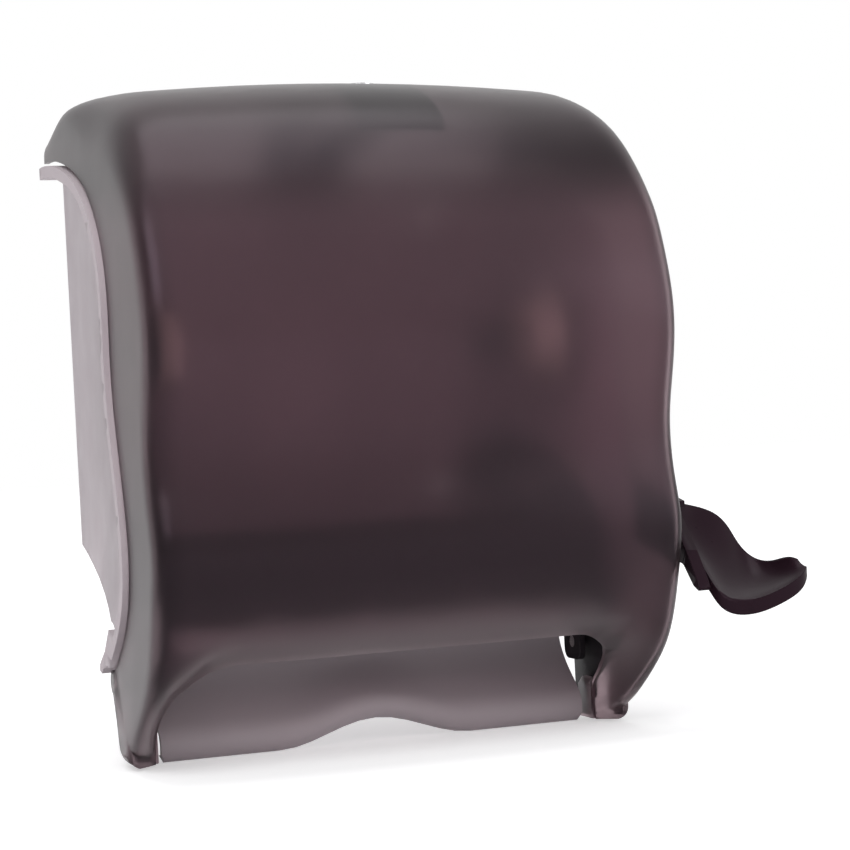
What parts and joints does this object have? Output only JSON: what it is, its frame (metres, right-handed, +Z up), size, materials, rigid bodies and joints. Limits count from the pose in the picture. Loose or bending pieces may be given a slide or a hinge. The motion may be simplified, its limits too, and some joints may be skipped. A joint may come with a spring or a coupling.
{
  "type": "lever paper towel dispenser",
  "caption": "Wall-hung roll towel dispenser: frosted hinged cover over a grey back housing, side push lever geared to a feed roller, sprung pressure roller, tear bar and curved exit chute",
  "frame": {"origin": "centre of the four wall screw holes, on the back face of the housing", "axes": "X to the right as seen by the user, Y into the wall, Z up"},
  "size_m": [0.3197, 0.218, 0.3283],
  "materials": {
    "frosted_cover": "frosted translucent smoke plastic, satin",
    "lever_plastic": "very dark satin plastic",
    "housing_plastic": "light warm grey moulded plastic, fine grain",
    "mechanism_plastic": "dark grey moulded plastic",
    "gear_plastic": "natural white gear plastic",
    "roller_rubber": "dark grip rubber",
    "shaft_steel": "drawn steel",
    "screw_steel": "zinc plated steel",
    "spring_steel": "spring wire",
    "blade_steel": "stainless strip"
  },
  "bodies": {
    "casing": {"back_housing": "housing_plastic", "exit_chute": "housing_plastic", "left_side_frame": "mechanism_plastic", "right_side_frame": "mechanism_plastic", "frame_screws": "screw_steel", "roller_bushes": "gear_plastic", "lever_bushes": "gear_plastic", "cover_hinge_pins": "shaft_steel", "idler_pin": "shaft_steel", "lever_return_spring": "spring_steel", "pinch_frame_pins": "shaft_steel", "pinch_springs": "spring_steel", "roll_arm_pins": "shaft_steel", "tear_bar": "blade_steel", "tear_bar_screws": "screw_steel", "lock_strike": "housing_plastic", "strike_screws": "screw_steel"},
    "cover": {"front_cover": "frosted_cover", "lock_housing": "frosted_cover"},
    "lock": {"lock_barrel": "shaft_steel", "lock_cam": "shaft_steel"},
    "lever": {"lever": "lever_plastic", "lever_screw": "screw_steel", "lever_shaft": "shaft_steel", "sector_gear": "gear_plastic"},
    "idler": {"idler_gear": "gear_plastic"},
    "feed_roller": {"feed_roller": "mechanism_plastic", "feed_roller_grips": "roller_rubber", "feed_roller_shaft": "shaft_steel", "shaft_clips": "spring_steel", "drive_pinion": "gear_plastic", "one_way_clutch": "shaft_steel"},
    "pinch_frame": {"pinch_frame": "mechanism_plastic"},
    "pinch_roller": {"pinch_roller": "roller_rubber", "pinch_roller_shaft": "shaft_steel"},
    "left_arm": {"left_roll_arm": "mechanism_plastic"},
    "right_arm": {"right_roll_arm": "mechanism_plastic"},
    "left_plug": {"left_core_plug": "mechanism_plastic"},
    "right_plug": {"right_core_plug": "mechanism_plastic"}
  },
  "joints": [
    {"name": "cover_open", "type": "hinge", "parent": "casing", "child": "cover", "pos_m": [0, -0.105, -0.155], "axis": [1, 0, 0], "range_deg": [0, 100]},
    {"name": "lock_turn", "type": "hinge", "parent": "cover", "child": "lock", "pos_m": [0.01, -0.108, 0.12], "axis": [0, 0, 1], "range_deg": [0, 90]},
    {"name": "lever_push", "type": "hinge", "parent": "casing", "child": "lever", "pos_m": [0.12, -0.06756, -0.07597], "axis": [1, 0, 0], "range_deg": [0, 35], "stiffness_Nm_per_rad": 0.25, "springref_deg": -68.75, "deforming": ["lever_return_spring"]},
    {"name": "idler_turn", "type": "hinge", "parent": "casing", "child": "idler", "pos_m": [0.117, -0.10861, -0.0978], "axis": [1, 0, 0], "range_deg": [-121, 1]},
    {"name": "feed_turn", "type": "hinge", "parent": "casing", "child": "feed_roller", "pos_m": [0, -0.112, -0.117], "axis": [1, 0, 0], "range_deg": [-1, 141]},
    {"name": "pinch_open", "type": "hinge", "parent": "casing", "child": "pinch_frame", "pos_m": [0, -0.124, -0.089], "axis": [1, 0, 0], "range_deg": [-20, 0], "stiffness_Nm_per_rad": 0.1, "springref_deg": 40.11, "deforming": ["pinch_springs"]},
    {"name": "pinch_roll", "type": "hinge", "parent": "pinch_frame", "child": "pinch_roller", "pos_m": [0, -0.13408, -0.1139], "axis": [1, 0, 0], "range_deg": [-246, 1]},
    {"name": "left_arm_swing", "type": "hinge", "parent": "casing", "child": "left_arm", "pos_m": [-0.106, -0.009, 0.003], "axis": [0, 0, 1], "range_deg": [-7, 0], "stiffness_Nm_per_rad": 0.2, "springref_deg": 20.05},
    {"name": "right_arm_swing", "type": "hinge", "parent": "casing", "child": "right_arm", "pos_m": [0.106, -0.009, 0.003], "axis": [0, 0, 1], "range_deg": [0, 7], "stiffness_Nm_per_rad": 0.2, "springref_deg": -20.05},
    {"name": "left_plug_turn", "type": "hinge", "parent": "left_arm", "child": "left_plug", "pos_m": [-0.098, -0.108, 0.003], "axis": [1, 0, 0], "continuous": true},
    {"name": "right_plug_turn", "type": "hinge", "parent": "right_arm", "child": "right_plug", "pos_m": [0.098, -0.108, 0.003], "axis": [1, 0, 0], "continuous": true}
  ],
  "couplings": [
    {"joint": "idler_turn", "follows": "lever_push", "ratio": -3.4286},
    {"joint": "feed_turn", "follows": "lever_push", "ratio": 4},
    {"joint": "pinch_roll", "follows": "lever_push", "ratio": -7}
  ]
}
